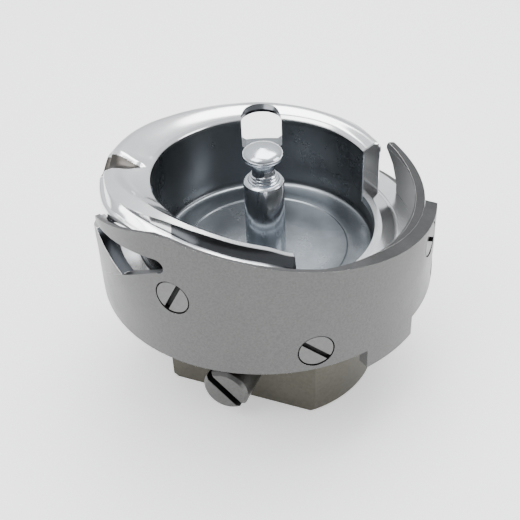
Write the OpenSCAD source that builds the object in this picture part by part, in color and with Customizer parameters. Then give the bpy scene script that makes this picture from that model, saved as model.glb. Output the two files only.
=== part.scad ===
// Rotary hook for a lockstitch sewing machine: a shaft hub with a hook ring, a retaining
// gib and a needle guard, and a bobbin case holder that turns in the race inside them.
// Origin: centre of the shaft bore on the hub's bottom face. +Z runs up the hook's axis.
// Azimuths are in degrees about Z, from -Y towards +X.

/* [Shaft hub] */
// Diameter of the bore for the hook shaft
shaft_bore_d = 7.94; // [6:0.01:9]
// Diameter of the hub
hub_d = 23.2; // [21:0.1:25]
// Height of the hub, from its bottom face to the underside of the cup
hub_h = 12.2; // [9.5:0.1:16]
// Chamfer round the hub's bottom face
hub_chamfer = 0.4; // [0.1:0.05:0.8]
// Distance from the axis to the flats that the set screws stand on
hub_flat = 8.2; // [7.4:0.1:10]
// Thickness of the cup's web
web_t = 0.9; // [0.6:0.1:1.5]
// Inner diameter of the cup's wall
cup_bore_d = 28.8; // [27.9:0.1:30]

/* [Set screws] */
// Thread diameter of a set screw
set_screw_d = 4.9; // [3.6:0.1:5.6]
// Height of the set screws above the hub's bottom face
set_screw_z = 4.5; // [3.5:0.1:7]
// Length of a set screw
set_screw_len = 7.4; // [6:0.1:8]
// How far a set screw turns in before it meets the shaft
set_screw_travel = 1.2; // [0.6:0.1:2]
// Azimuth of the front set screw; the second one is 90 degrees behind it
set_screw_azimuth = -22.6; // [-30:0.2:-15]
// Width of a set screw's slot
set_screw_slot = 0.8; // [0.5:0.1:1.2]
// Depth of a set screw's slot
set_screw_slot_depth = 1.2; // [0.6:0.1:1.6]
// Chamfer of a set screw's outer end; its tip has twice as much
set_screw_chamfer = 0.35; // [0.1:0.05:0.5]

/* [Hook ring] */
// Outer diameter of the hook ring
ring_d = 34.4; // [33.6:0.1:42]
// Inner diameter of the hook ring, which is also the race's outer wall
ring_bore_d = 32; // [31:0.1:32.6]
// Height of the rim above the ring's bottom edge, at the front
rim_front_h = 12.35; // [11.5:0.05:15]
// Greatest height of the rim, at the beak's root
rim_peak_h = 14.25; // [12.5:0.05:15]
// How much the rim falls for each millimetre to the right
rim_slope = 0.23; // [0.1:0.01:0.3]
// Height of the low rear wall
rear_wall_h = 3.5; // [3.3:0.1:4]
// Thickness of the thinned blade at the mouth
blade_t = 0.4; // [0.3:0.05:0.8]
// Height at which the conical mouth begins
mouth_h = 8.8; // [8.2:0.1:9.5]
// Height over which the mouth opens to the blade
mouth_rise = 2.4; // [1.5:0.1:3]
// Azimuth at which the high wall ends on the right
wall_end_azimuth = 80; // [74:1:86]
// Depth of the balance skirt below the ring
skirt_h = 2.2; // [1:0.1:3]
// Azimuth at which the skirt starts
skirt_start = 32; // [26:1:38]
// Azimuth at which the skirt ends
skirt_end = 54; // [48:1:70]

/* [Beak and throat] */
// Azimuth of the throat's middle
throat_azimuth = -60; // [-64:1:-56]
// Height of the beak's point
beak_tip_h = 10.3; // [9.8:0.05:11]
// Height of the beak's underside at its root
beak_root_h = 11.5; // [11:0.1:12]
// Fall of the throat's floor for each millimetre to the left
throat_slope = 0.571; // [0.4:0.01:0.7]
// Radius of the throat's round end
throat_end_r = 0.75; // [0.5:0.05:0.9]

/* [Retaining gib] */
// Radial thickness of the gib
gib_t = 1; // [0.7:0.05:1.2]
// Azimuth at which the gib's tapered tail ends
gib_tail_azimuth = 120; // [112:1:126]
// Azimuth at which the gib's high part starts, beside the beak
gib_start_azimuth = -29; // [-32:1:-22]
// Azimuth at which the gib's low part starts
gib_low_azimuth = -100; // [-120:1:-90]
// Height of the gib's low part above the race
gib_low_h = 0.9; // [0.6:0.1:1.4]

/* [Needle guard] */
// Azimuth of the guard's rear end
guard_rear_azimuth = -96; // [-104:1:-88]
// Height of the guard's peak above the ring's bottom edge
guard_h = 9.4; // [8:0.1:9.6]
// How much the guard's back falls for each millimetre to the rear
guard_slope = 0.55; // [0.4:0.05:0.6]
// Azimuth of the guard's screw
guard_screw_azimuth = -80; // [-81:1:-76]

/* [Screws in the ring] */
// Diameter of a screw head
screw_head_d = 3.3; // [2.6:0.1:3.6]
// Depth of a screw head
screw_head_h = 0.6; // [0.4:0.05:0.8]
// Thread diameter
screw_d = 1.9; // [1.4:0.1:2.2]
// Width of a screw's slot
screw_slot = 0.45; // [0.3:0.05:0.6]
// Depth of a screw's slot
screw_slot_depth = 0.35; // [0.2:0.05:0.4]
// Height of the three lower screws above the ring's bottom edge
ring_screw_h = 2.2; // [2:0.05:2.4]
// How far a screw's head lies below the ring's outer face
head_inset = 0.08; // [0:0.01:0.15]

/* [Bobbin case holder] */
// Diameter of the pocket that takes the bobbin case
pocket_d = 22.4; // [21:0.1:23]
// Thickness of the pocket's floor
floor_t = 0.9; // [0.6:0.1:1.2]
// Outer diameter of the pocket's high wall
holder_wall_d = 26.4; // [25.6:0.1:27]
// Outer diameter of the body below the bearing rib
holder_body_d = 27.2; // [26:0.1:27.8]
// Thickness of the bearing rib
rib_t = 0.9; // [0.7:0.05:1]
// Height of the low rim above the bearing rib
low_rim_rise = 0.5; // [0.2:0.1:1]
// Azimuth of the flange's tail, at the front
tail_azimuth = 12; // [6:1:18]
// Azimuth of the high wall's end, at the rear right
high_wall_end = 112; // [106:1:118]
// Thickness of the flange
flange_t = 1.3; // [1:0.1:1.6]
// Diameter of the finger notch in the rear wall
notch_d = 4.4; // [4:0.1:5.2]
// How far the notch's round end at the flange stays inside the high wall's outer face
notch_bridge = 0.2; // [0.1:0.1:1]
// Thickness of the flange where it bridges the notch
notch_bridge_t = 0.75; // [0.5:0.05:1.2]
// Height of the finger notch's floor above the pocket's floor
notch_floor_h = 4.9; // [4:0.1:6]

/* [Centre stud] */
// Diameter of the stud
stud_d = 4.1; // [3.6:0.05:4.5]
// Height of the stud's body above the pocket's floor
stud_h = 8.1; // [6.5:0.1:9]
// Diameter of the neck under the stud's head
stud_neck_d = 2.3; // [1.8:0.1:2.8]
// Height of the neck
stud_neck_h = 2.3; // [1.5:0.1:2.8]
// Height of the stud's head
stud_head_h = 1.4; // [1:0.1:2.4]
// Chamfer at the top of the stud's body
stud_chamfer = 0.2; // [0.1:0.05:0.4]
// Diameter of the spigot that is pressed into the pocket's floor
spigot_d = 3.2; // [2.4:0.1:3.4]

/* [Fits] */
// Radial clearance of the bearing rib in the race
race_clearance = 0.08; // [0.03:0.01:0.1]
// End clearance of the bearing rib between the race and the gib
end_clearance = 0.05; // [0.03:0.01:0.1]
// Clearance between pieces that seat in one another
seat_clearance = 0.02; // [0.01:0.01:0.05]
// Radial clearance of a screw in its hole
screw_clearance = 0.05; // [0.03:0.01:0.1]
// Radial clearance round a screw's head in its seat
head_clearance = 0.12; // [0.05:0.01:0.2]
// Clearance between the inner end of a set screw and the shaft, once it is turned in
set_screw_tip_gap = 0.03; // [0:0.01:0.1]

/* [Hidden] */
$fn = 128;
eps = 0.01;
// Longer than the whole hook, for cuts that run right out of it
reach = 30;
// How far a cut starts before the wall that it goes through, or ends behind it
overrun = 5;

ring_r = ring_d / 2;
race_r = ring_bore_d / 2;
cup_r = race_r - seat_clearance;
gib_r = race_r - seat_clearance;
gib_bore_r = gib_r - gib_t;
blade_r = ring_r - blade_t;

ring_z = hub_h;
race_z = ring_z + rear_wall_h - end_clearance;
rib_z = race_z + end_clearance;
rib_top_z = rib_z + rib_t;
gib_z = rib_top_z + end_clearance;
rib_r = race_r - race_clearance;
rim_z = ring_z + rim_front_h;
// Height of the turned blanks of the ring and the gib, before their rim is cut
blank_top_z = ring_z + 1.6 * rim_front_h;

floor_gap = 0.3;
holder_z = ring_z + web_t + floor_gap;
floor_z = holder_z + floor_t;
low_rim_z = rib_top_z + low_rim_rise;
pocket_r = pocket_d / 2;
stud_top_z = floor_z + stud_h;
stud_head_z = stud_top_z + stud_neck_h;

set_screw_azimuths = [set_screw_azimuth, set_screw_azimuth - 90];
set_screw_tip_r = shaft_bore_d / 2 + set_screw_travel + set_screw_tip_gap;
set_screw_slot_angle = 47;

screw_head_r = screw_head_d / 2;
head_face_r = ring_r - head_inset;
head_seat_r = head_face_r - screw_head_h;
gib_screw_left = [-30, 7.7];
gib_screw_right = [67, 6.85];
ring_screw_azimuths = [14, 77, -106];
guard_screw_h = 5.45;
screw_tip_gap = 0.05;
gib_slot_angles = [-28, 54];
ring_slot_angles = [47, 30, -15];
guard_slot_angle = 20;

wick_azimuth = -150;
wick_d = 0.9;
wick_r = (cup_bore_d / 2 + cup_r) / 2;

// The throat is drawn on the plane that touches the ring at throat_azimuth: x is the
// distance along the ring and y the height above the ring's bottom edge.
throat_end_x = 7.35;
beak_tip_x = -2.4;
throat_floor_x = throat_end_x - (beak_root_h - 2 * throat_end_r - rear_wall_h) / throat_slope;
beak_top_slope = 0.33;
beak_top_h = 12.1;
beak_top_x = 0.7;

// Reach of the flange from the axis, and height of its top above the ring's bottom edge,
// by azimuth from the tail, round the rear, to the high wall's end.
flange_reach = [
    [-248, 13.3], [-224, 14], [-200, 14.3], [-175, 14.4], [-155, 14.8], [-140, 15.3],
    [-120, 16], [-100, 16.2], [-65, 16.2], [-50, 15.6], [-35, 14.6], [-20, 13.6],
    [0, 13.3], [18, 13.3]
];
flange_top = [
    [-254, 10.9], [-180, 11.3], [-140, 11.6], [-110, 12.1], [-80, 12.4], [-50, 12.3],
    [-30, 11.9], [-10, 11.1], [0, 10.6], [18, 9.3]
];
flange_step = 4;
needle_azimuth = -96;
valley_inner_r = 0.4;
valley_h = 12.6;
valley_r = 1.9;
needle_slot_azimuth = -90;
needle_slot_h = 8;
needle_slot_d = 3;
needle_slot_depth = 0.8;
// Height of the high wall's turned part, and how far the flange's root is sunk in it.
wall_h = 8.4;
flange_inset = 0.2;
// The flange runs this many degrees past the wall's two ends.
flange_overhang = 0.6;

// Puts what is drawn along +X at an azimuth.
module at_azimuth(azimuth) {
    rotate([0, 0, azimuth - 90]) children();
}

// Part of a turned ring, from one azimuth to the next; the child is its section.
module arc_of(from_azimuth, to_azimuth) {
    at_azimuth(from_azimuth) rotate_extrude(angle = to_azimuth - from_azimuth) children();
}

module ring_section(inner_r, outer_r, bottom_z, top_z) {
    translate([inner_r, bottom_z]) square([outer_r - inner_r, top_z - bottom_z]);
}

// A solid pointing outwards along +X, drawn from its section on the tangent plane.
module tangent_block(inner_r, outer_r) {
    translate([inner_r, 0, 0]) rotate([90, 0, 90]) linear_extrude(outer_r - inner_r) children();
}

// Everything above the sloping rim.
module above_rim() {
    translate([0, 0, rim_z])
        rotate([0, atan(rim_slope), 0])
            translate([-reach, -reach, 0]) cube([2 * reach, 2 * reach, reach]);
    translate([-reach, -reach, ring_z + rim_peak_h]) cube([2 * reach, 2 * reach, reach]);
}

// The cone that opens the mouth, and the thin blade above it.
module mouth() {
    rotate_extrude()
        polygon([
            [gib_bore_r - overrun, ring_z + mouth_h], [gib_bore_r, ring_z + mouth_h],
            [blade_r, ring_z + mouth_h + mouth_rise], [blade_r, ring_z + reach],
            [gib_bore_r - overrun, ring_z + reach]
        ]);
}

// The space that the beak leaves: the throat under it, and all that is left of its point.
module throat() {
    at_azimuth(throat_azimuth) tangent_block(ring_r / 3, ring_r + overrun) {
        translate([throat_end_x, ring_z + beak_root_h - throat_end_r]) circle(throat_end_r);
        translate([0, ring_z])
            polygon([
                [throat_end_x, beak_root_h], [beak_tip_x, beak_tip_h],
                [beak_tip_x, reach], [-reach, reach], [-reach, rear_wall_h],
                [throat_floor_x, rear_wall_h], [throat_end_x, beak_root_h - 2 * throat_end_r]
            ]);
    }
}

// What lies above the beak's sloping back.
module above_beak() {
    at_azimuth(throat_azimuth) tangent_block(ring_r / 3, ring_r + overrun)
        translate([beak_top_x, ring_z + beak_top_h])
            rotate(atan(beak_top_slope)) translate([-reach, 0]) square([1.5 * reach, reach]);
}

module rear_opening() {
    arc_of(wall_end_azimuth, 270)
        ring_section(
            gib_bore_r - overrun, ring_r + overrun, ring_z + rear_wall_h - seat_clearance, ring_z + reach
        );
}

// A hole through the wall with a seat for a screw's head.
module screw_hole(clearance) {
    translate([cup_bore_d / 2 - overrun, 0, 0])
        rotate([0, 90, 0]) cylinder(r = screw_d / 2 + clearance, h = reach / 2);
}

module head_seat() {
    translate([head_seat_r, 0, 0])
        rotate([0, 90, 0]) cylinder(r = screw_head_r + head_clearance, h = reach / 2);
}

module at_screw(place) {
    at_azimuth(place[0]) translate([0, 0, ring_z + place[1]]) children();
}

module wall_screw(place, tip_r, slot_angle) {
    at_screw(place) difference() {
        union() {
            translate([head_seat_r, 0, 0])
                rotate([0, 90, 0]) cylinder(r = screw_head_r, h = screw_head_h);
            translate([tip_r, 0, 0])
                rotate([0, 90, 0]) cylinder(r = screw_d / 2, h = head_seat_r - tip_r + eps);
        }
        translate([head_face_r, 0, 0]) rotate([slot_angle, 0, 0])
            cube([2 * screw_slot_depth, screw_slot, 2 * screw_head_d], center = true);
    }
}

module gib_screw(place, slot_angle) {
    color("gray") wall_screw(place, gib_bore_r + screw_tip_gap, slot_angle);
}

module ring_screw(index) {
    place = [ring_screw_azimuths[index], ring_screw_h];
    color("gray") wall_screw(place, cup_bore_d / 2 + screw_tip_gap, ring_slot_angles[index]);
}

module needle_guard_screw() {
    place = [guard_screw_azimuth, guard_screw_h];
    color("gray") wall_screw(place, race_r + screw_tip_gap, guard_slot_angle);
}

module set_screw_hole(azimuth) {
    at_azimuth(azimuth) translate([0, 0, set_screw_z]) {
        rotate([0, 90, 0]) cylinder(r = set_screw_d / 2 + screw_clearance, h = reach);
        translate([hub_flat, -reach, -reach]) cube([reach, 2 * reach, reach + hub_h - set_screw_z]);
    }
}

module shaft_hub() {
    color("dimgray") difference() {
        rotate_extrude()
            polygon([
                [0, 0], [hub_d / 2 - hub_chamfer, 0], [hub_d / 2, hub_chamfer],
                [hub_d / 2, ring_z], [cup_r, ring_z], [cup_r, race_z],
                [cup_bore_d / 2, race_z], [cup_bore_d / 2, ring_z + web_t],
                [0, ring_z + web_t]
            ]);
        translate([0, 0, -reach]) cylinder(d = shaft_bore_d, h = 2 * reach);
        for (azimuth = set_screw_azimuths) set_screw_hole(azimuth);
        for (azimuth = ring_screw_azimuths)
            at_screw([azimuth, ring_screw_h]) screw_hole(seat_clearance);
        wick_hole(0);
    }
}

// The wick stands in a drilled hole in the cup's wall and brings oil to the race.
module wick_hole(margin) {
    at_azimuth(wick_azimuth)
        translate([wick_r, 0, ring_z - eps])
            cylinder(d = wick_d, h = race_z - ring_z + 2 * eps - margin);
}

module oil_wick() {
    color("beige")
        at_azimuth(wick_azimuth)
            translate([wick_r, 0, ring_z])
                cylinder(d = wick_d - 2 * seat_clearance, h = race_z - ring_z - seat_clearance);
}

module hook_ring() {
    color("silver") difference() {
        rotate_extrude()
            ring_section(race_r, ring_r, ring_z - skirt_h, blank_top_z);
        arc_of(skirt_end, skirt_start + 360)
            ring_section(race_r - overrun, ring_r + overrun, ring_z - 2 * skirt_h, ring_z);
        above_rim();
        mouth();
        throat();
        above_beak();
        rear_opening();
        for (azimuth = ring_screw_azimuths) at_screw([azimuth, ring_screw_h]) {
            screw_hole(screw_clearance);
            head_seat();
        }
        for (place = [gib_screw_left, gib_screw_right]) at_screw(place) {
            screw_hole(screw_clearance);
            head_seat();
        }
    }
}

module retaining_gib() {
    color("darkgray") difference() {
        arc_of(gib_low_azimuth, gib_tail_azimuth)
            ring_section(gib_bore_r, gib_r, gib_z, blank_top_z);
        arc_of(gib_low_azimuth - overrun, gib_start_azimuth)
            ring_section(gib_bore_r - overrun, gib_r + overrun, gib_z + gib_low_h, ring_z + reach);
        above_rim();
        mouth();
        gib_tail_cut();
        for (place = [gib_screw_left, gib_screw_right])
            at_screw(place) screw_hole(seat_clearance);
    }
}

// Trims the gib's end to a slender point that rises to the rim.
module gib_tail_cut() {
    at_azimuth(gib_tail_azimuth - 10) tangent_block(gib_bore_r - overrun, gib_r + overrun)
        polygon([
            [2.6, reach], [2.4, ring_z + 9], [0.9, ring_z + 7.4], [0, ring_z + 5.6],
            [-0.3, ring_z], [reach, ring_z], [reach, reach]
        ]);
}

// The guard fills the throat's left end, flush with the ring. It rises from the rear to a
// peak below the beak's point, and falls from there along a slanted edge.
module needle_guard() {
    guard_front = throat_azimuth + 11;
    foot_x = 3.2;
    foot_h = 7;
    peak_x = -2.8;
    color("silver") difference() {
        arc_of(guard_rear_azimuth, guard_front)
            ring_section(race_r + seat_clearance, ring_r, ring_z + rear_wall_h, ring_z + guard_h);
        at_azimuth(throat_azimuth) tangent_block(ring_r / 3, ring_r + overrun) translate([0, ring_z]) {
            translate([0, seat_clearance]) polygon([
                [throat_floor_x, rear_wall_h], [throat_end_x, beak_root_h - 2 * throat_end_r],
                [throat_end_x, 0], [-reach, 0], [-reach, rear_wall_h]
            ]);
            polygon([[foot_x, foot_h], [peak_x, guard_h], [peak_x, reach], [reach, reach],
                [reach, foot_h]]);
            polygon([[peak_x + eps, guard_h], [peak_x - reach / 2, guard_h - guard_slope * reach / 2],
                [peak_x - reach, reach], [peak_x + eps, reach]]);
        }
        at_screw([guard_screw_azimuth, guard_screw_h]) {
            screw_hole(screw_clearance);
            head_seat();
        }
    }
}

module set_screw(azimuth) {
    color("gray") at_azimuth(azimuth) translate([set_screw_tip_r, 0, set_screw_z]) difference() {
        rotate([0, 90, 0]) rotate_extrude()
            polygon([
                [0, 0], [set_screw_d / 2 - 2 * set_screw_chamfer, 0],
                [set_screw_d / 2, 2 * set_screw_chamfer],
                [set_screw_d / 2, set_screw_len - set_screw_chamfer],
                [set_screw_d / 2 - set_screw_chamfer, set_screw_len], [0, set_screw_len]
            ]);
        translate([set_screw_len, 0, 0]) rotate([set_screw_slot_angle, 0, 0])
            cube([2 * set_screw_slot_depth, set_screw_slot, 2 * set_screw_d], center = true);
    }
}

// One cross-section of the flange, as points in space. Its root is sunk in the high wall.
function flange_section(azimuth) =
    let (
        r = lookup(azimuth, flange_reach),
        top = ring_z + lookup(azimuth, flange_top),
        root_r = holder_wall_d / 2 - flange_inset,
        root_z = ring_z + wall_h - flange_inset,
        section = [
            [root_r, root_z], [root_r, top - flange_t],
            [max(root_r + 0.05, r - 0.5), top - flange_t], [r, top - flange_t / 2],
            [r - 0.2, top - 0.15], [r - 0.7, top], [pocket_r + 0.5, top - 0.3],
            [pocket_r + 0.05, top - 0.6], [pocket_r + 0.05, root_z]
        ]
    )
    [for (p = section) [p[0] * sin(azimuth), -p[0] * cos(azimuth), p[1]]];

// The two triangles between one side of a section and the same side of the next section.
function flange_facets(first, k, next, sides) = [
    [first + k, first + sides + k, first + sides + next],
    [first + k, first + sides + next, first + next]
];

// The flange is swept from the tail, round the rear, to the high wall's end.
module flange() {
    flange_start = tail_azimuth + flange_overhang;
    span = flange_start - (high_wall_end - flange_overhang - 360);
    count = ceil(span / flange_step);
    sides = 9;
    points = [
        for (i = [0 : count])
            each flange_section(flange_start - span * i / count)
    ];
    faces = concat(
        [[for (k = [0 : sides - 1]) k]],
        [for (i = [0 : count - 1], k = [0 : sides - 1])
            each flange_facets(i * sides, k, (k + 1) % sides, sides)],
        [[for (k = [sides - 1 : -1 : 0]) count * sides + k]]
    );
    polyhedron(points = points, faces = faces);
}

module bobbin_case_holder() {
    color("gainsboro") difference() {
        union() {
            difference() {
                rotate_extrude() holder_section();
                arc_of(tail_azimuth, high_wall_end) low_rim_cut();
            }
            flange();
        }
        finger_notch();
        needle_valley();
        needle_slot();
    }
}

module holder_section() {
    polygon([
        [spigot_d / 2, holder_z], [holder_body_d / 2, holder_z], [holder_body_d / 2, rib_z],
        [rib_r, rib_z], [rib_r, rib_top_z], [holder_wall_d / 2, rib_top_z],
        [holder_wall_d / 2, ring_z + wall_h], [pocket_r, ring_z + wall_h],
        [pocket_r, floor_z], [spigot_d / 2, floor_z]
    ]);
}

// Above the low rim, which slopes down to a fine step over the bearing rib.
module low_rim_cut() {
    step = 0.05;
    land = 0.7;
    polygon([
        [pocket_r - overrun, low_rim_z], [pocket_r + land, low_rim_z],
        [holder_wall_d / 2, rib_top_z + step], [rib_r + overrun, rib_top_z + step],
        [rib_r + overrun, ring_z + reach], [pocket_r - overrun, ring_z + reach]
    ]);
}

// The notch is open to the outside below the flange, whose outer part bridges it.
module finger_notch() {
    notch_z = floor_z + notch_floor_h;
    bridge_z = ring_z + lookup(-180, flange_top) - notch_bridge_t;
    at_azimuth(180) {
        translate([holder_wall_d / 2 - notch_bridge - notch_d / 2, 0, notch_z])
            cylinder(d = notch_d, h = reach);
        translate([pocket_r - overrun, -notch_d / 2, notch_z])
            cube([holder_wall_d / 2 - pocket_r + 2 * overrun, notch_d, bridge_z - notch_z]);
    }
}

// A tapering channel across the flange, where the needle comes down.
module needle_valley() {
    at_azimuth(needle_azimuth) translate([pocket_r + 0.5, 0, ring_z + valley_h])
        rotate([0, 90, 0]) cylinder(r1 = valley_inner_r, r2 = valley_r, h = overrun + 1);
}

// The shallow slot in the pocket's wall below the valley.
module needle_slot() {
    at_azimuth(needle_slot_azimuth) translate([pocket_r - overrun, 0, ring_z + needle_slot_h])
        rotate([0, 90, 0]) cylinder(d = needle_slot_d, h = overrun + needle_slot_depth);
}

module centre_stud() {
    spigot_bottom = holder_z + floor_t / 9;
    collar = 0.35;
    color("lightsteelblue") rotate_extrude()
        polygon([
            [0, spigot_bottom], [spigot_d / 2 - seat_clearance, spigot_bottom],
            [spigot_d / 2 - seat_clearance, floor_z + eps], [stud_d / 2, floor_z + eps],
            [stud_d / 2, stud_top_z - stud_chamfer], [stud_d / 2 - stud_chamfer, stud_top_z],
            [stud_neck_d / 2 + collar, stud_top_z],
            [stud_neck_d / 2 + collar, stud_top_z + collar / 2],
            [stud_neck_d / 2, stud_top_z + collar], [stud_neck_d / 2, stud_head_z],
            [0.8 * stud_d / 2, stud_head_z + 0.08 * stud_head_h],
            [stud_d / 2, stud_head_z + 0.3 * stud_head_h],
            [stud_d / 2, stud_head_z + 0.45 * stud_head_h],
            [0.75 * stud_d / 2, stud_head_z + 0.82 * stud_head_h],
            [0.3 * stud_d / 2, stud_head_z + stud_head_h], [0, stud_head_z + stud_head_h]
        ]);
}

shaft_hub();
hook_ring();
retaining_gib();
needle_guard();
gib_screw(gib_screw_left, gib_slot_angles[0]);
gib_screw(gib_screw_right, gib_slot_angles[1]);
ring_screw(0);  // ring_screw_front
ring_screw(1);  // ring_screw_right
ring_screw(2);  // ring_screw_rear
needle_guard_screw();
set_screw(set_screw_azimuths[0]);  // set_screw_front
set_screw(set_screw_azimuths[1]);  // set_screw_left
oil_wick();
bobbin_case_holder();
centre_stud();
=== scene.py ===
"""Looks for the rotary sewing hook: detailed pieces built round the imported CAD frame.

Lengths are in millimetres until a mesh is made. Azimuths are in degrees about Z, from -Y
towards +X, and heights of the upper pieces are above the hook ring's bottom edge.
"""
import math

import bmesh
import bpy
from mathutils import Matrix, Vector


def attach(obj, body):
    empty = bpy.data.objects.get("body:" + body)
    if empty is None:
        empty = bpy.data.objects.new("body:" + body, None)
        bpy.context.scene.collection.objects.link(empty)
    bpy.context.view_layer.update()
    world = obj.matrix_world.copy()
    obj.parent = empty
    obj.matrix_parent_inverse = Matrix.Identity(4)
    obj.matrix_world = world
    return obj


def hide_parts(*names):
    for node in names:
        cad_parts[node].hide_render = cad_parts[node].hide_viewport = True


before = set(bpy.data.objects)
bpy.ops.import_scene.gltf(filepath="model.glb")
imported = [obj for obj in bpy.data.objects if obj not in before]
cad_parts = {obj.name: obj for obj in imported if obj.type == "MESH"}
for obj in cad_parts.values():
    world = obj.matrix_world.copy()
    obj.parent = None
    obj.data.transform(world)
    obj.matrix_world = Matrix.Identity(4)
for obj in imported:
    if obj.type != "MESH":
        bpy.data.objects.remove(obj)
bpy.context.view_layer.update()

MM = 0.001
# Names that end in _Z are heights in the frame. Those in _H are above the ring's bottom edge.
RING_Z = 12.2

# The bobbin case holder.
POCKET_R = 11.2
WALL_R = 13.2
FLOOR_H = 2.1
LOW_RIM_H = 4.9
WALL_FOOT_H = 4.46
FLANGE_T = 1.05
THINNEST_FLANGE = 0.3
NEEDLE_AZIMUTH = -95.5
# The high wall runs from its rear end to the tail, and the low rim from there to LOW_END.
HIGH_START, HIGH_END, LOW_END = -248.0, 12.0, 112.0
# The needle valley: where it starts, how far out it grows, and its half width and depth there.
VALLEY_R, VALLEY_LENGTH, VALLEY_HALF, VALLEY_DEPTH = 11.9, 4.2, 2.3, 0.95
# The finger notch: its floor, the underside of the flange's bridge over it, its rim, its half
# width, and how far the cutter goes outwards below the bridge.
NOTCH_FLOOR_Z = RING_Z + 7.0
BRIDGE_Z = 22.7
NOTCH_RIM_Z = RING_Z + 11.2
NOTCH_R = 2.2
NOTCH_REACH = 3.5

# Places of materials in a piece's list: on a bevelled copy, and on the holder.
EDGE_INDEX = 1
# On the holder, the materials after the chrome are darker copies of it: painted shade.
CHROME_INDEX, POCKET_INDEX, FLOOR_INDEX, WALL_INDEX, VALLEY_INDEX, NOTCH_INDEX = range(6)
# Faces along a section of the holder: how many are on the floor and on the pocket's wall, and
# the places of the step and of the outer wall, counted from where the pocket's wall begins.
FLOOR_FACES = 11
POCKET_FACES = 10
STEP_FACE = 40
OUTER_WALL_FACE = 65

# The screws. A face radius is the distance of a head's outer face from the hook's axis.
HEAD_R = 1.65
HEAD_FACE_R = 17.12
SET_SCREW_Z = 4.5
SET_SLOT_R = 2.0
SET_SCREW_FACE_R = 12.52

# The colour sockets of a Mix node, which share their names with its other sockets.
MIX_A, MIX_B, MIX_RESULT = 6, 7, 2

# Where the lamps point, in metres, and the direction in which the sky is brightest.
MIDDLE = (0, 0, 0.02)
BRIGHTEST = (-0.1, 0.45, 0.89)


# ---------------------------------------------------------------- small tools

def place(azimuth, r, z):
    """A point in metres from its azimuth, radius and height above the frame's floor."""
    a = math.radians(azimuth)
    return Vector((r * math.sin(a), -r * math.cos(a), z)) * MM


def smooth_step(t):
    t = min(max(t, 0.0), 1.0)
    return t * t * (3 - 2 * t)


def table(rows):
    """A smooth curve through (x, value) rows, held level beyond its ends."""
    xs = [x for x, _ in rows]
    ys = [y for _, y in rows]
    slopes = []
    for i in range(len(rows)):
        if i in (0, len(rows) - 1):
            slopes.append(0.0)
            continue
        before = (ys[i] - ys[i - 1]) / (xs[i] - xs[i - 1])
        after = (ys[i + 1] - ys[i]) / (xs[i + 1] - xs[i])
        slopes.append(0.0 if before * after <= 0 else 2 * before * after / (before + after))

    def value(x):
        if x <= xs[0]:
            return ys[0]
        if x >= xs[-1]:
            return ys[-1]
        i = max(k for k in range(len(xs) - 1) if xs[k] <= x)
        w = xs[i + 1] - xs[i]
        t = (x - xs[i]) / w
        return (
            ys[i] * (2 * t ** 3 - 3 * t ** 2 + 1) + slopes[i] * w * (t ** 3 - 2 * t ** 2 + t)
            + ys[i + 1] * (3 * t ** 2 - 2 * t ** 3) + slopes[i + 1] * w * (t ** 3 - t ** 2)
        )

    return value


def add_piece(name, mesh, body, replaced=(), materials=()):
    piece = bpy.data.objects.new(name, mesh)
    bpy.context.scene.collection.objects.link(piece)
    for material in materials:
        mesh.materials.append(material)
    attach(piece, body)
    if replaced:
        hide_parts(*replaced)
    return piece


def shade(mesh, angle):
    mesh.shade_smooth()
    mesh.set_sharp_from_angle(angle=math.radians(angle))


def apply_modifiers(obj):
    """Replaces the object's mesh by what its modifiers make of it."""
    bpy.context.view_layer.update()
    mesh = bpy.data.meshes.new_from_object(
        obj.evaluated_get(bpy.context.evaluated_depsgraph_get())
    )
    obj.modifiers.clear()
    obj.data = mesh


def bevelled_copy(node, name, width, body, material, edge=None):
    """A copy of a CAD node with its edges rounded, in place of the node.

    The material on the edges, a painted highlight where one is given, has EDGE_INDEX.
    """
    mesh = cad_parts[node].data.copy()
    mesh.name = name
    mesh.materials.clear()
    work = bmesh.new()
    work.from_mesh(mesh)
    bmesh.ops.remove_doubles(work, verts=work.verts, dist=0.0005 * MM)
    bmesh.ops.dissolve_limit(
        work, angle_limit=math.radians(0.6), verts=work.verts, edges=work.edges
    )
    work.to_mesh(mesh)
    work.free()
    if mesh.has_custom_normals:
        mesh.attributes.remove(mesh.attributes["custom_normal"])
    piece = add_piece(name, mesh, body, (node,))
    bevel = piece.modifiers.new("edges", "BEVEL")
    bevel.width = width * MM
    bevel.segments = 2
    bevel.limit_method = "ANGLE"
    bevel.angle_limit = math.radians(30)
    bevel.harden_normals = True
    piece.data.materials.append(material)
    piece.data.materials.append(edge or material)
    bevel.material = EDGE_INDEX
    piece.data.shade_smooth()
    apply_modifiers(piece)
    return piece


def paint_recess_shade(piece, azimuth, z, bore_r, face_r):
    """Puts painted shade, a dark steel, on the faces of a recess round a screw's axis, below the
    outer face.
    """
    a = math.radians(azimuth)
    outwards = Vector((math.sin(a), -math.cos(a), 0))
    index = len(piece.data.materials)
    piece.data.materials.append(recess_shade_steel)
    for polygon in piece.data.polygons:
        centre = polygon.center / MM - Vector((0, 0, z))
        along = centre.dot(outwards)
        aside = (centre - outwards * along).length
        if 0 < along < face_r and aside < bore_r:
            polygon.material_index = index


def paint(piece, material, chosen):
    """Gives a material to the faces, edges apart, whose azimuth, height and normal pass a test."""
    index = len(piece.data.materials)
    piece.data.materials.append(material)
    for polygon in piece.data.polygons:
        x, y, z = polygon.center / MM
        azimuth = math.degrees(math.atan2(x, -y))
        on_edge = polygon.material_index == EDGE_INDEX
        if not on_edge and chosen(azimuth, z - RING_Z, polygon.normal):
            polygon.material_index = index


# ---------------------------------------------------------------- materials

def new_material(name):
    material = bpy.data.materials.new(name)
    material.use_nodes = True
    tree = material.node_tree
    return material, tree, tree.nodes["Principled BSDF"]


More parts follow.
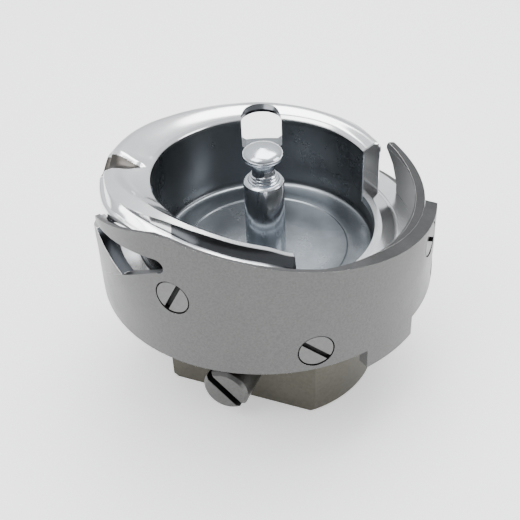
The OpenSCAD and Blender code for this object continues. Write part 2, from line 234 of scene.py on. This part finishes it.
def steel(name, colour, roughness, spread, grain, bump, scale):
    """Worked steel, whose colour and roughness vary in patches.

    Its finer grain has a scale in cycles per metre, and shows in the colour and the bump.
    """
    material, tree, shader = new_material(name)
    nodes, links = tree.nodes, tree.links
    coords = nodes.new("ShaderNodeTexCoord")

    patches = nodes.new("ShaderNodeTexNoise")
    patches.inputs["Scale"].default_value = 160.0
    patches.inputs["Detail"].default_value = 5.0
    patches.inputs["Roughness"].default_value = 0.6
    links.new(coords.outputs["Object"], patches.inputs["Vector"])
    fine = nodes.new("ShaderNodeTexNoise")
    fine.inputs["Scale"].default_value = scale
    fine.inputs["Detail"].default_value = 3.0
    fine.inputs["Roughness"].default_value = 0.65
    links.new(coords.outputs["Object"], fine.inputs["Vector"])

    tone = nodes.new("ShaderNodeValToRGB")
    tone.color_ramp.elements[0].position = 0.3
    tone.color_ramp.elements[1].position = 0.72
    tone.color_ramp.elements[0].color = [*(c * (1 - spread) for c in colour), 1]
    tone.color_ramp.elements[1].color = [*(min(c * (1 + spread), 1) for c in colour), 1]
    links.new(patches.outputs["Fac"], tone.inputs["Fac"])

    speck = nodes.new("ShaderNodeMix")
    speck.data_type = "RGBA"
    speck.blend_type = "MULTIPLY"
    speck.inputs["Factor"].default_value = grain
    links.new(tone.outputs["Color"], speck.inputs[MIX_A])
    grey = nodes.new("ShaderNodeValToRGB")
    grey.color_ramp.elements[0].position = 0.35
    grey.color_ramp.elements[1].position = 0.6
    grey.color_ramp.elements[0].color = (0.45, 0.45, 0.45, 1)
    grey.color_ramp.elements[1].color = (1, 1, 1, 1)
    links.new(fine.outputs["Fac"], grey.inputs["Fac"])
    links.new(grey.outputs["Color"], speck.inputs[MIX_B])
    links.new(speck.outputs[MIX_RESULT], shader.inputs["Base Color"])

    rough = nodes.new("ShaderNodeMapRange")
    rough.inputs["From Min"].default_value = 0.3
    rough.inputs["From Max"].default_value = 0.7
    rough.inputs["To Min"].default_value = roughness * 0.8
    rough.inputs["To Max"].default_value = roughness * 1.25
    links.new(patches.outputs["Fac"], rough.inputs["Value"])
    links.new(rough.outputs["Result"], shader.inputs["Roughness"])

    relief = nodes.new("ShaderNodeBump")
    relief.inputs["Strength"].default_value = bump
    relief.inputs["Distance"].default_value = 0.02 * MM
    links.new(fine.outputs["Fac"], relief.inputs["Height"])
    links.new(relief.outputs["Normal"], shader.inputs["Normal"])
    shader.inputs["Metallic"].default_value = 1.0
    return material


ring_steel = steel("satin_steel", (0.108, 0.108, 0.1065), 0.36, 0.06, 0.3, 0.9, 5200.0)
# Painted shade: a darker copy of the ring's steel for the upward faces round the mouth.
rim_shade_steel = steel("rim_shade_steel", (0.085, 0.085, 0.087), 0.34, 0.08, 0.2, 0.4, 2600.0)
# Painted highlight: a bright copy of the steel for the rounded edges of the ring, guard and gib.
edge_highlight_steel = steel("painted_edge_highlight", (0.92, 0.92, 0.91), 0.24, 0.05, 0.1, 0.2, 2600.0)
gib_steel = steel("gib_steel", (0.13, 0.13, 0.128), 0.34, 0.08, 0.16, 0.4, 2600.0)
# Painted shade: a near-black copy of the steel in and round the throat.
throat_shade_steel = steel("throat_shade_steel", (0.035, 0.038, 0.043), 0.34, 0.1, 0.1, 0.2, 2600.0)
hub_steel = steel("hub_steel", (0.10, 0.095, 0.08), 0.38, 0.12, 0.2, 0.5, 2200.0)
screw_steel = steel("screw_steel", (0.135, 0.135, 0.133), 0.38, 0.08, 0.2, 0.5, 3000.0)
set_steel = steel("set_screw_steel", (0.12, 0.12, 0.117), 0.38, 0.1, 0.25, 0.6, 3000.0)
# Painted shade: near-black steel for the screws' slots and seats.
recess_shade_steel = steel("recess_shade_steel", (0.03, 0.03, 0.03), 0.6, 0.1, 0.2, 0.3, 3000.0)
chrome = steel("polished_chrome", (0.86, 0.87, 0.885), 0.17, 0.03, 0.04, 0.04, 1500.0)
# Painted shade: a darker copy of the holder's chrome on the pocket's wall.
pocket_shade_steel = steel("pocket_shade_steel", (0.17, 0.18, 0.19), 0.3, 0.03, 0.0, 0.0, 1500.0)
# Painted shade: a darker copy of the holder's chrome on its outer wall, the step's face near the
# tail, under the notch's bridge and in the needle slot.
wall_shade_steel = steel("wall_shade_steel", (0.13, 0.137, 0.147), 0.2, 0.06, 0.05, 0.05, 1500.0)
# Painted shade: a dark brownish copy of the holder's chrome in the needle valley.
valley_shade_steel = steel("valley_shade_steel", (0.075, 0.07, 0.064), 0.3, 0.15, 0.1, 0.1, 1500.0)
# Painted shade: a darker copy of the holder's chrome on the pocket's floor and the notch's floor.
floor_shade_steel = steel("painted_floor_shade", (0.29, 0.315, 0.34), 0.24, 0.05, 0.08, 0.08, 1800.0)
# Painted shade: a darker copy of the holder's chrome on the notch's walls.
notch_shade_steel = steel("notch_shade_steel", (0.36, 0.37, 0.38), 0.3, 0.05, 0.05, 0.05, 1800.0)
stud_steel = steel("stud_steel", (0.62, 0.65, 0.69), 0.16, 0.04, 0.06, 0.1, 1800.0)


def felt_material():
    material, tree, shader = new_material("oiled_felt")
    nodes, links = tree.nodes, tree.links
    coords = nodes.new("ShaderNodeTexCoord")
    fibres = nodes.new("ShaderNodeTexNoise")
    fibres.inputs["Scale"].default_value = 6000.0
    fibres.inputs["Detail"].default_value = 4.0
    links.new(coords.outputs["Object"], fibres.inputs["Vector"])
    tone = nodes.new("ShaderNodeValToRGB")
    tone.color_ramp.elements[0].color = (0.42, 0.34, 0.2, 1)
    tone.color_ramp.elements[1].color = (0.72, 0.64, 0.46, 1)
    links.new(fibres.outputs["Fac"], tone.inputs["Fac"])
    links.new(tone.outputs["Color"], shader.inputs["Base Color"])
    relief = nodes.new("ShaderNodeBump")
    relief.inputs["Distance"].default_value = 0.03 * MM
    links.new(fibres.outputs["Fac"], relief.inputs["Height"])
    links.new(relief.outputs["Normal"], shader.inputs["Normal"])
    shader.inputs["Roughness"].default_value = 0.95
    return material


felt = felt_material()


# ---------------------------------------------------------------- bobbin case holder

# The flange by azimuth: heights of its inner edge and its ridge, radii of its outer edge, inner
# lip, ridge and upper edge, the step's depth and slant, the rounding, and the fall outwards.
inner_h = table([
    (-250, 10.2), (-220, 10.45), (-180, 10.6), (-140, 10.8), (-110, 11.05), (-86, 11.15),
    (-65, 11.35), (-56, 11.4), (-47, 11.3), (-35, 11.0), (-25, 10.7), (-13, 10.3),
    (-3, 9.9), (12, 9.1)
])
top_h = table([
    (-254, 10.9), (-180, 11.3), (-140, 11.6), (-110, 12.1), (-80, 12.4), (-50, 12.3),
    (-30, 11.9), (-10, 11.1), (0, 10.6), (14, 9.5)
])
outer_r = table([
    (-248, 13.3), (-224, 14.0), (-200, 14.3), (-175, 14.4), (-155, 14.8), (-140, 15.3),
    (-120, 16.0), (-100, 16.2), (-75, 16.2), (-66, 16.15), (-60, 15.7), (-54, 15.3),
    (-49, 15.0), (-40, 14.55), (-32, 14.1), (-26, 13.6), (-20, 13.3), (12, 13.25)
])
lip_r = table([
    (-248, 11.5), (-110, 11.55), (-100, 12.0), (-90, 13.0), (-86, 13.2), (-76, 12.75),
    (-67, 12.3), (-61, 11.75), (-50, 11.45), (12, 11.4)
])
ridge_r = table([
    (-248, 12.5), (-180, 13.3), (-120, 14.6), (-100, 14.9), (-85, 14.85), (-79, 14.6),
    (-73, 14.1), (-63, 13.0), (-50, 12.5), (-38, 12.15), (-20, 11.9), (12, 11.75)
])
edge_r = table([
    (-248, 12.9), (-180, 13.8), (-120, 15.3), (-85, 15.5), (-70, 15.2), (-61, 14.6),
    (-52, 13.75), (-43, 13.05), (-34, 12.65), (-20, 12.35), (12, 12.2)
])
step_d = table([(-66, 0.0), (-60, 0.3), (-52, 0.75), (-45, 1.05), (-34, 1.25), (12, 1.2)])
slant = table([(-60, 0.05), (-50, 0.1), (-40, 0.2), (-30, 0.35), (12, 0.45)])
round_r = table([
    (-250, 0.3), (-200, 0.45), (-110, 0.5), (-66, 0.42), (-40, 0.3), (-22, 0.12), (12, 0.1)
])
outer_drop = table([
    (-250, 0.3), (-180, 0.35), (-120, 0.45), (-95, 0.5), (-75, 0.85), (-60, 0.5),
    (-45, 0.25), (-25, 0.1), (12, 0.05)
])


def valley(azimuth, r):
    """Depth of the needle valley, a channel that widens outwards."""
    reach = (r - VALLEY_R) / VALLEY_LENGTH
    if reach <= 0:
        return 0.0
    half = VALLEY_HALF * min(reach, 1.1) ** 0.8 + 0.12
    side = math.radians(azimuth - NEEDLE_AZIMUTH) * r
    across = abs(side) / half
    depth = VALLEY_DEPTH * min(reach, 1.0) ** 0.6
    if across < 1:
        return depth * (1 - across ** 2) ** 1.5
    return 0.0


def top_line(azimuth):
    """The flange's top from the pocket's edge to its outer edge, as (r, height) pairs."""
    ri, ra, rb = POCKET_R, lip_r(azimuth), ridge_r(azimuth)
    ro = outer_r(azimuth) - round_r(azimuth)
    rc = min(edge_r(azimuth), ro - 0.06)
    zi, zb = inner_h(azimuth), top_h(azimuth)
    blend = smooth_step((azimuth + 74) / 10)
    za_rear = zi + 0.32
    za_lobe = zi + (zb - zi) * (0.52 - 0.3 * smooth_step((azimuth + 66) / 10))
    lobe = smooth_step((azimuth + 104) / 10)
    za = za_rear * (1 - lobe) + za_lobe * lobe
    zc = zb - 0.12 * (1 - blend)
    drop = step_d(azimuth)
    zo = zc - outer_drop(azimuth) - drop
    line = []
    for i in range(8):
        t = i / 8
        line.append((ri + (ra - ri) * t, zi + (za - zi) * t))
    for i in range(12):
        t = i / 12
        soft = smooth_step(t) * (1 - blend) + t * blend
        line.append((ra + (rb - ra) * t, za + (zb - za) * soft))
    for i in range(8):
        t = i / 8
        line.append((rb + (rc - rb) * t, zb + (zc - zb) * t))
    line.append((rc, zc))
    line.append((rc + 0.04, zc - 0.06 * min(drop, 1)))
    shelf = min(rc + slant(azimuth), ro - 0.05)
    line.append((shelf, zc - drop))
    for i in range(1, 13):
        t = i / 12
        line.append((shelf + (ro - shelf) * t, zc - drop + (zo - zc + drop) * t ** 1.5))
    return [(r, z - valley(azimuth, r)) for r, z in line]


def high_section(azimuth, inset=0.0):
    """The high wall with its flange, from the low rim's height up, over and down again."""
    top = top_line(azimuth)
    ro = outer_r(azimuth)
    zo = top[-1][1]
    under = min(zo + valley(azimuth, ro) - FLANGE_T, zo - THINNEST_FLANGE)
    # Roundings of the flange's outer edge, above and below, and the fillet beneath it.
    rho = min(round_r(azimuth), 0.45 * (zo - under))
    low = min(rho, 0.3, 0.4 * (zo - under))
    wall = min(WALL_R, ro - 0.03)
    zi = top[0][1]
    points = []
    for i in range(POCKET_FACES):
        t = i / POCKET_FACES
        points.append((POCKET_R, LOW_RIM_H + (zi - 0.06 - LOW_RIM_H) * t))
    points.append((POCKET_R, zi - 0.05))
    points.append((POCKET_R + 0.02, zi - 0.015))
    points += top[1:]
    for i in range(1, 7):
        a = math.radians(90 * i / 6)
        points.append((ro - rho + rho * math.sin(a), zo - rho + rho * math.cos(a)))
    for i in range(0, 5):
        a = math.radians(90 * i / 4)
        points.append((ro - low + low * math.cos(a), under + low - low * math.sin(a)))
    fillet = max(min(0.5, (ro - low) - wall - 0.01), 0.01)
    for i in range(0, 5):
        a = math.radians(90 * i / 4)
        points.append((wall + fillet - fillet * math.sin(a), under - fillet + fillet * math.cos(a)))
    for i in range(1, 9):
        t = i / 8
        points.append((wall, under - fillet + (WALL_FOOT_H - under + fillet) * t))
    if inset:
        points = [
            (min(max(r, POCKET_R + inset), wall - inset) if r < wall + 0.2 else r - inset,
             min(z, top_at(top, r) - inset))
            for r, z in points
        ]
    return points


def top_at(line, r):
    """Height of the flange's top line at a radius."""
    if r <= line[0][0]:
        return line[0][1]
    for (r0, z0), (r1, z1) in zip(line, line[1:]):
        if r0 <= r <= r1 and r1 > r0:
            return z0 + (z1 - z0) * (r - r0) / (r1 - r0)
    return line[-1][1]


def low_line(r):
    """Height of the low rim's sloping top at a radius."""
    r = min(max(r, POCKET_R), WALL_R)
    slope_r = 11.9
    if r < slope_r:
        return LOW_RIM_H
    return LOW_RIM_H - 0.44 * (r - slope_r) / (WALL_R - slope_r)


def low_section(inset=0.0):
    """The low rim, with as many points as the high wall has at its end."""
    return [(min(max(r, POCKET_R + inset), WALL_R - inset), low_line(r))
            for r, _ in high_section(HIGH_END)]


# (r, height) pairs: the pocket's floor from the stud outwards and up to the wall's foot, and
# the bearing rib's top, side and underside, and the holder's bottom back to the stud.
FLOOR_LINE = [
    (1.6, FLOOR_H - 0.12), (2.6, FLOOR_H - 0.12), (4.0, FLOOR_H - 0.12), (6.0, FLOOR_H - 0.12),
    (8.3, FLOOR_H - 0.12), (8.42, FLOOR_H - 0.09), (8.5, FLOOR_H), (8.62, FLOOR_H + 0.03),
    (9.4, FLOOR_H + 0.03), (10.4, FLOOR_H + 0.04), (10.75, FLOOR_H + 0.09),
    (10.98, FLOOR_H + 0.2), (11.12, FLOOR_H + 0.36), (11.18, FLOOR_H + 0.6),
    (POCKET_R, FLOOR_H + 0.9), (POCKET_R, 4.0)
]
LEDGE_LINE = [
    (13.3, 4.44), (13.42, 4.43), (13.46, 4.38), (13.54, 4.38), (13.58, 4.43), (14.2, 4.42),
    (15.0, 4.41), (15.84, 4.4), (15.92, 4.32), (15.92, 3.58), (15.84, 3.5), (13.7, 3.5),
    (13.6, 3.4), (13.6, 1.3), (13.5, 1.2), (8.0, 1.2), (1.6, 1.2)
]


def azimuth_rows():
    """Azimuths of the sections, closer together where the flange is sculpted."""
    rows = []
    azimuth = HIGH_START
    while azimuth < HIGH_END - 1e-6:
        rows.append(azimuth)
        if -106 <= azimuth < -85:
            azimuth += 0.25
        elif -112 < azimuth < -58:
            azimuth += 0.5
        else:
            azimuth += 1.0
    return rows


def holder_sections():
    """The sections of the holder's upper part, each with its azimuth, once round."""
    inset = 0.12
    step = 0.4
    sections = [(azimuth, high_section(azimuth)) for azimuth in azimuth_rows()]
    sections[0] = (HIGH_START, high_section(HIGH_START, inset))
    sections.insert(1, (HIGH_START + step, high_section(HIGH_START + step)))
    sections.append((HIGH_END - step, high_section(HIGH_END - step)))
    sections.append((HIGH_END, high_section(HIGH_END, inset)))
    sections.append((HIGH_END, low_section(inset)))
    sections += [(float(a), low_section()) for a in range(int(HIGH_END) + 1, int(LOW_END))]
    sections.append((LOW_END, low_section(inset)))
    return sections


def holder_mesh():
    """The holder before its cuts: each section joined to the next, with its faces' materials."""
    sections = holder_sections()
    vertices, rings = [], []
    for azimuth, points in sections:
        loop = FLOOR_LINE + points + LEDGE_LINE
        rings.append(range(len(vertices), len(vertices) + len(loop)))
        vertices += [place(azimuth, r, RING_Z + z) for r, z in loop]
    faces, slots = [], []
    count = len(rings[0])
    pocket_face = len(FLOOR_LINE)
    wall_face = pocket_face + OUTER_WALL_FACE
    ledge_face = count - len(LEDGE_LINE)
    # Where the step's face gets painted shade.
    stepped = (-42, HIGH_END)
    # Where the needle valley gets painted shade.
    near_needle = (-108, -84)
    for i, ring in enumerate(rings):
        after = rings[(i + 1) % len(rings)]
        azimuth = sections[i][0]
        high = HIGH_START < azimuth < HIGH_END
        pocket_end = pocket_face + POCKET_FACES if high else pocket_face - 1
        for k in range(count):
            n = (k + 1) % count
            faces.append((ring[k], ring[n], after[n], after[k]))
            index = CHROME_INDEX
            if k < FLOOR_FACES:
                # Painted shade on the pocket's floor.
                index = FLOOR_INDEX
            elif k < pocket_end:
                # Painted shade on the pocket's wall.
                index = POCKET_INDEX
            elif high and wall_face <= k < ledge_face:
                # Painted shade on the outer wall below the flange.
                index = WALL_INDEX
            elif k == pocket_face + STEP_FACE and stepped[0] < azimuth < stepped[1]:
                # Painted shade on the step's face near the tail.
                index = WALL_INDEX
            elif high and k < wall_face and near_needle[0] < azimuth < near_needle[1]:
                r, _ = sections[i][1][k - pocket_face]
                if valley(azimuth, r) > 0.2:
                    # Painted shade in the needle valley.
                    index = VALLEY_INDEX
            slots.append(index)
    mesh = bpy.data.meshes.new("bobbin_case_holder_body")
    mesh.from_pydata(vertices, [], faces)
    for material in (chrome, pocket_shade_steel, floor_shade_steel, wall_shade_steel, valley_shade_steel):
        mesh.materials.append(material)
    mesh.polygons.foreach_set("material_index", slots)
    work = bmesh.new()
    work.from_mesh(mesh)
    bmesh.ops.remove_doubles(work, verts=work.verts, dist=0.002 * MM)
    bmesh.ops.dissolve_degenerate(work, edges=work.edges, dist=0.001 * MM)
    bmesh.ops.recalc_face_normals(work, faces=work.faces)
    work.to_mesh(mesh)
    work.free()
    return mesh


def round_cutter(name, segments, rings, turn=Matrix.Identity(4), widen=0.0, opening=(0, 0)):
    """A closed cutter from rings of (r, x, y, z) circles, drawn out by widen along X.

    Up to the opening's height, its rear half is drawn out along Y by the opening's depth.
    """
    vertices, faces = [], []
    for r, x, y, z in rings:
        for k in range(segments):
            a = 2 * math.pi * (k + 0.5) / segments
            depth = opening[1] if z <= opening[0] and math.sin(a) > 0 else 0
            flat = Vector((x + r * math.cos(a) + math.copysign(widen, math.cos(a)),
                           y + r * math.sin(a) + depth, z))
            vertices.append((turn @ flat) * MM)
    for i in range(len(rings) - 1):
        for k in range(segments):
            n = (k + 1) % segments
            b = i * segments
            faces.append((b + k, b + n, b + segments + n, b + segments + k))
    faces.append(tuple(range(segments))[::-1])
    faces.append(tuple(range((len(rings) - 1) * segments, len(rings) * segments)))
    mesh = bpy.data.meshes.new(name)
    mesh.from_pydata(vertices, [], faces)
    mesh.shade_smooth()
    cutter = bpy.data.objects.new(name, mesh)
    bpy.context.scene.collection.objects.link(cutter)
    return cutter


def cut(piece, cutter, material):
    """Takes the cutter's shape out of the piece and gives the cut faces the material."""
    cutter.data.materials.append(material)
    boolean = piece.modifiers.new("cut", "BOOLEAN")
    boolean.object = cutter
    boolean.operation = "DIFFERENCE"
    boolean.solver = "EXACT"
    boolean.material_mode = "TRANSFER"
    apply_modifiers(piece)
    bpy.data.objects.remove(cutter)


def notch_cutter():
    """Cuts the finger notch, which is open to the outside below the bridge."""
    y = POCKET_R - 0.5
    return round_cutter("notch_cutter", 72, [
        (NOTCH_R - 0.4, 0, y - 0.2, NOTCH_FLOOR_Z), (NOTCH_R, 0, y, NOTCH_FLOOR_Z + 0.35),
        (NOTCH_R, 0, y, BRIDGE_Z), (NOTCH_R, 0, y, BRIDGE_Z + 0.02),
        (NOTCH_R, 0, y, NOTCH_RIM_Z - 0.35), (NOTCH_R + 0.35, 0, y, NOTCH_RIM_Z + 0.05),
        (NOTCH_R + 0.65, 0, y, NOTCH_RIM_Z + 2)
    ], opening=(BRIDGE_Z, NOTCH_REACH))


def slot_cutter():
    """Cuts the needle slot through the pocket's left wall."""
    azimuth, height, tilt = -88, 8.7, 70
    turn = (
        Matrix.Rotation(math.radians(azimuth), 4, "Z")
        @ Matrix.Translation((0, 0, RING_Z + height))
        @ Matrix.Rotation(math.radians(90), 4, "X") @ Matrix.Rotation(math.radians(tilt), 4, "Z")
    )
    return round_cutter("slot_cutter", 48, [
        (0.95, 0, 0, 10.0), (0.95, 0, 0, 11.05), (0.7, 0, 0, 11.32), (0.62, 0, 0, 11.95)
    ], turn, 0.75)


def make_holder():
    piece = bpy.data.objects.new("case_holder", holder_mesh())
    bpy.context.scene.collection.objects.link(piece)
    # The notch's cut faces get painted shade.
    cut(piece, notch_cutter(), notch_shade_steel)
    # The slot's cut faces get painted shade.
    cut(piece, slot_cutter(), wall_shade_steel)
    for polygon in piece.data.polygons:
        if polygon.material_index != NOTCH_INDEX:
            continue
        z = polygon.center.z / MM
        if z > BRIDGE_Z - 0.1:
            # Painted shade under the notch's bridge.
            polygon.material_index = WALL_INDEX
        elif z < NOTCH_FLOOR_Z + 0.5 and polygon.normal.z > 0.5:
            # Painted shade on the notch's floor, chosen by its upward normal.
            polygon.material_index = FLOOR_INDEX
    shade(piece.data, 32)
    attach(piece, "holder")
    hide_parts("bobbin_case_holder")


make_holder()


# ---------------------------------------------------------------- centre stud

def lathe(name, profile, steps):
    """A turned mesh from (r, z) pairs; r = 0 makes one point on the axis."""
    vertices, rings = [], []
    for r, z in profile:
        if r < 1e-6:
            rings.append([len(vertices)] * steps)
            vertices.append(Vector((0, 0, z)) * MM)
            continue
        rings.append(list(range(len(vertices), len(vertices) + steps)))
        for k in range(steps):
            a = 2 * math.pi * k / steps
            vertices.append(Vector((r * math.cos(a), r * math.sin(a), z)) * MM)
    faces = []
    for low, high in zip(rings, rings[1:]):
        for k in range(steps):
            n = (k + 1) % steps
            face = [low[k], low[n], high[n], high[k]]
            face = [v for i, v in enumerate(face) if v not in face[:i]]
            if len(face) > 2:
                faces.append(face)
    mesh = bpy.data.meshes.new(name)
    mesh.from_pydata(vertices, [], faces)
    return mesh


def stud_profile():
    """The stud's foot in the floor, body, chamfered shoulder, three ridges, neck and head."""
    base = RING_Z + FLOOR_H
    top = base + 8.1
    head_z = top + 2.3
    profile = [(0, base - 0.8), (1.5, base - 0.8), (1.58, base - 0.72), (1.58, base - 0.12),
               (2.05, base - 0.1), (2.05, top - 0.24), (2.02, top - 0.19), (1.84, top - 0.02),
               (1.78, top), (1.62, top), (1.58, top - 0.04), (1.5, top - 0.16), (1.44, top - 0.2)]
    for i in range(3):
        z = top - 0.16 + 0.3 * i
        r = 1.42 - 0.09 * i
        profile += [(r, z), (r + 0.09, z + 0.06), (r + 0.08, z + 0.15), (r - 0.06, z + 0.22)]
    neck = 1.13
    profile += [(neck, top + 0.8), (neck, head_z - 0.3), (neck + 0.08, head_z - 0.1),
                (neck + 0.3, head_z), (1.65, head_z + 0.06), (1.92, head_z + 0.2),
                (2.04, head_z + 0.4), (2.05, head_z + 0.56), (1.99, head_z + 0.72)]
    for degrees in (15, 28, 40, 52, 64, 76):
        t = math.radians(degrees)
        profile.append((0.12 + 1.9 * math.cos(t), head_z + 0.62 + 0.74 * math.sin(t)))
    profile += [(0.35, head_z + 1.385), (0.15, head_z + 1.398), (0, head_z + 1.4)]
    return profile


def make_stud():
    mesh = lathe("centre_stud_body", stud_profile(), 96)
    shade(mesh, 38)
    add_piece("stud", mesh, "holder", ("centre_stud",), (stud_steel,))


make_stud()


# ---------------------------------------------------------------- pieces from the CAD

# CAD node, name, azimuth, and height above the ring's bottom edge.
SCREWS = [
    ("gib_screw_left", "gib_screw_a", -30, 7.7), ("gib_screw_right", "gib_screw_b", 67, 6.85),
    ("ring_screw_front", "ring_screw_a", 14, 2.2), ("ring_screw_right", "ring_screw_b", 77, 2.2),
    ("ring_screw_rear", "ring_screw_c", -106, 2.2),
    ("needle_guard_screw", "guard_screw", -80, 5.45),
]
# CAD node, name, body and azimuth.
SET_SCREWS = [
    ("set_screw_front", "set_screw_a", "front_screw", -22.6),
    ("set_screw_left", "set_screw_b", "left_screw", -112.6),
]


def is_upper_face(_azimuth, height, normal):
    """The faces that look up round the hook's mouth, which get painted shade."""
    return height > 5 and normal.z > 0.2


def is_throat_shade_face(azimuth, height, normal):
    """Faces in and round the throat that look along the ring, up or down, not outwards, which get
    painted shade.
    """
    a = math.radians(azimuth)
    outwards = abs(normal.x * math.sin(a) - normal.y * math.cos(a))
    return -100 < azimuth < -30 and 3 < height < 11.7 and outwards < 0.6


def is_low_gib_face(azimuth, height, _normal):
    """The gib's low part, beside the throat, which gets painted shade."""
    return azimuth < -29 and height < 6


def make_cad_copies():
    # The ring, guard and gib get a painted highlight on their rounded edges.
    ring = bevelled_copy(
        "hook_ring", "ring", 0.12, "hook", ring_steel, edge_highlight_steel
    )
    # Painted shade on the ring's upward faces round the mouth.
    paint(ring, rim_shade_steel, is_upper_face)
    # Painted shade in and round the throat.
    paint(ring, throat_shade_steel, is_throat_shade_face)
    guard = bevelled_copy(
        "needle_guard", "guard", 0.10, "hook", ring_steel, edge_highlight_steel
    )
    # Painted shade on the guard's faces in the throat.
    paint(guard, throat_shade_steel, is_throat_shade_face)
    gib = bevelled_copy("retaining_gib", "gib", 0.06, "hook", gib_steel, edge_highlight_steel)
    # Painted shade on the gib's upward faces.
    paint(gib, rim_shade_steel, is_upper_face)
    paint(gib, throat_shade_steel, is_low_gib_face)
    bevelled_copy("shaft_hub", "hub", 0.10, "hook", hub_steel)
    for node, name, azimuth, height in SCREWS:
        screw = bevelled_copy(node, name, 0.035, "hook", screw_steel)
        z = RING_Z + height
        # Painted shade in the screw's slot and in its seat in the ring or guard.
        paint_recess_shade(screw, azimuth, z, HEAD_R - 0.05, HEAD_FACE_R - 0.05)
        seat = guard if node == "needle_guard_screw" else ring
        paint_recess_shade(seat, azimuth, z, HEAD_R + 0.13, HEAD_FACE_R - 0.06)
    for node, name, body, azimuth in SET_SCREWS:
        screw = bevelled_copy(node, name, 0.05, body, set_steel)
        # Painted shade in the set screw's slot.
        paint_recess_shade(screw, azimuth, SET_SCREW_Z, SET_SLOT_R, SET_SCREW_FACE_R)


make_cad_copies()
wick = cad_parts["oil_wick"]
wick.data.materials.clear()
wick.data.materials.append(felt)


# ---------------------------------------------------------------- stage, light and camera

def make_floor():
    size = 1.6
    mesh = bpy.data.meshes.new("floor")
    steps = 24
    vertices = [
        (size * (i / steps - 0.5), size * (j / steps - 0.5), 0)
        for j in range(steps + 1) for i in range(steps + 1)
    ]
    row = steps + 1
    faces = [
        (j * row + i, j * row + i + 1, (j + 1) * row + i + 1, (j + 1) * row + i)
        for j in range(steps) for i in range(steps)
    ]
    mesh.from_pydata(vertices, [], faces)
    floor = bpy.data.objects.new("floor", mesh)
    bpy.context.scene.collection.objects.link(floor)
    material, _, shader = new_material("pale_floor")
    shader.inputs["Base Color"].default_value = (0.92, 0.92, 0.92, 1)
    shader.inputs["Roughness"].default_value = 0.9
    shader.inputs["Emission Color"].default_value = (1, 1, 1, 1)
    shader.inputs["Emission Strength"].default_value = 0.6
    mesh.materials.append(material)


def add_light(name, location, size, power):
    """A square lamp that points at the hook's middle."""
    light = bpy.data.lights.new(name, "AREA")
    light.shape = "SQUARE"
    light.size = size
    light.energy = power
    lamp = bpy.data.objects.new(name, light)
    bpy.context.scene.collection.objects.link(lamp)
    lamp.location = location
    lamp.rotation_euler = (
        (Vector(MIDDLE) - Vector(location)).to_track_quat("-Z", "Y").to_euler()
    )


def make_world():
    """A soft sky, brightest high up and towards the rear left."""
    world = bpy.data.worlds.new("studio")
    bpy.context.scene.world = world
    world.use_nodes = True
    nodes, links = world.node_tree.nodes, world.node_tree.links
    background = nodes["Background"]
    coords = nodes.new("ShaderNodeTexCoord")
    facing = nodes.new("ShaderNodeVectorMath")
    facing.operation = "DOT_PRODUCT"
    facing.inputs[1].default_value = BRIGHTEST
    links.new(coords.outputs["Generated"], facing.inputs[0])
    reach = nodes.new("ShaderNodeMapRange")
    reach.inputs["From Min"].default_value = -0.55
    reach.inputs["From Max"].default_value = 0.8
    links.new(facing.outputs["Value"], reach.inputs["Value"])
    ramp = nodes.new("ShaderNodeValToRGB")
    ramp.color_ramp.elements[0].color = (0.10, 0.102, 0.105, 1)
    ramp.color_ramp.elements[1].color = (0.96, 0.98, 1.0, 1)
    links.new(reach.outputs["Result"], ramp.inputs["Fac"])
    links.new(ramp.outputs["Color"], background.inputs["Color"])
    background.inputs["Strength"].default_value = 1.25


def make_camera():
    """The camera fitted to the photo."""
    position = (0, -0.08007, 0.0747)
    yaw, pitch, roll = math.radians(-0.53), math.radians(38.0), math.radians(-2.7)
    forward = Vector((
        math.sin(yaw) * math.cos(pitch), math.cos(yaw) * math.cos(pitch), -math.sin(pitch)
    ))
    level = Vector((math.cos(yaw), -math.sin(yaw), 0))
    upright = level.cross(forward)
    right = math.cos(roll) * level + math.sin(roll) * upright
    up = -math.sin(roll) * level + math.cos(roll) * upright
    data = bpy.data.cameras.new("camera")
    data.lens = 66.32
    data.sensor_width = 36.0
    data.clip_start = 0.005
    camera = bpy.data.objects.new("camera", data)
    bpy.context.scene.collection.objects.link(camera)
    rotation = Matrix((right, up, -forward)).transposed()
    camera.matrix_world = Matrix.Translation(position) @ rotation.to_4x4()
    bpy.context.scene.camera = camera


make_floor()
make_world()
add_light("key", (-0.15, -0.10, 0.30), 0.22, 0.8)
add_light("top", (0.04, 0.10, 0.32), 0.26, 1.5)
add_light("right", (0.28, -0.06, 0.12), 0.16, 0.4)
make_camera()
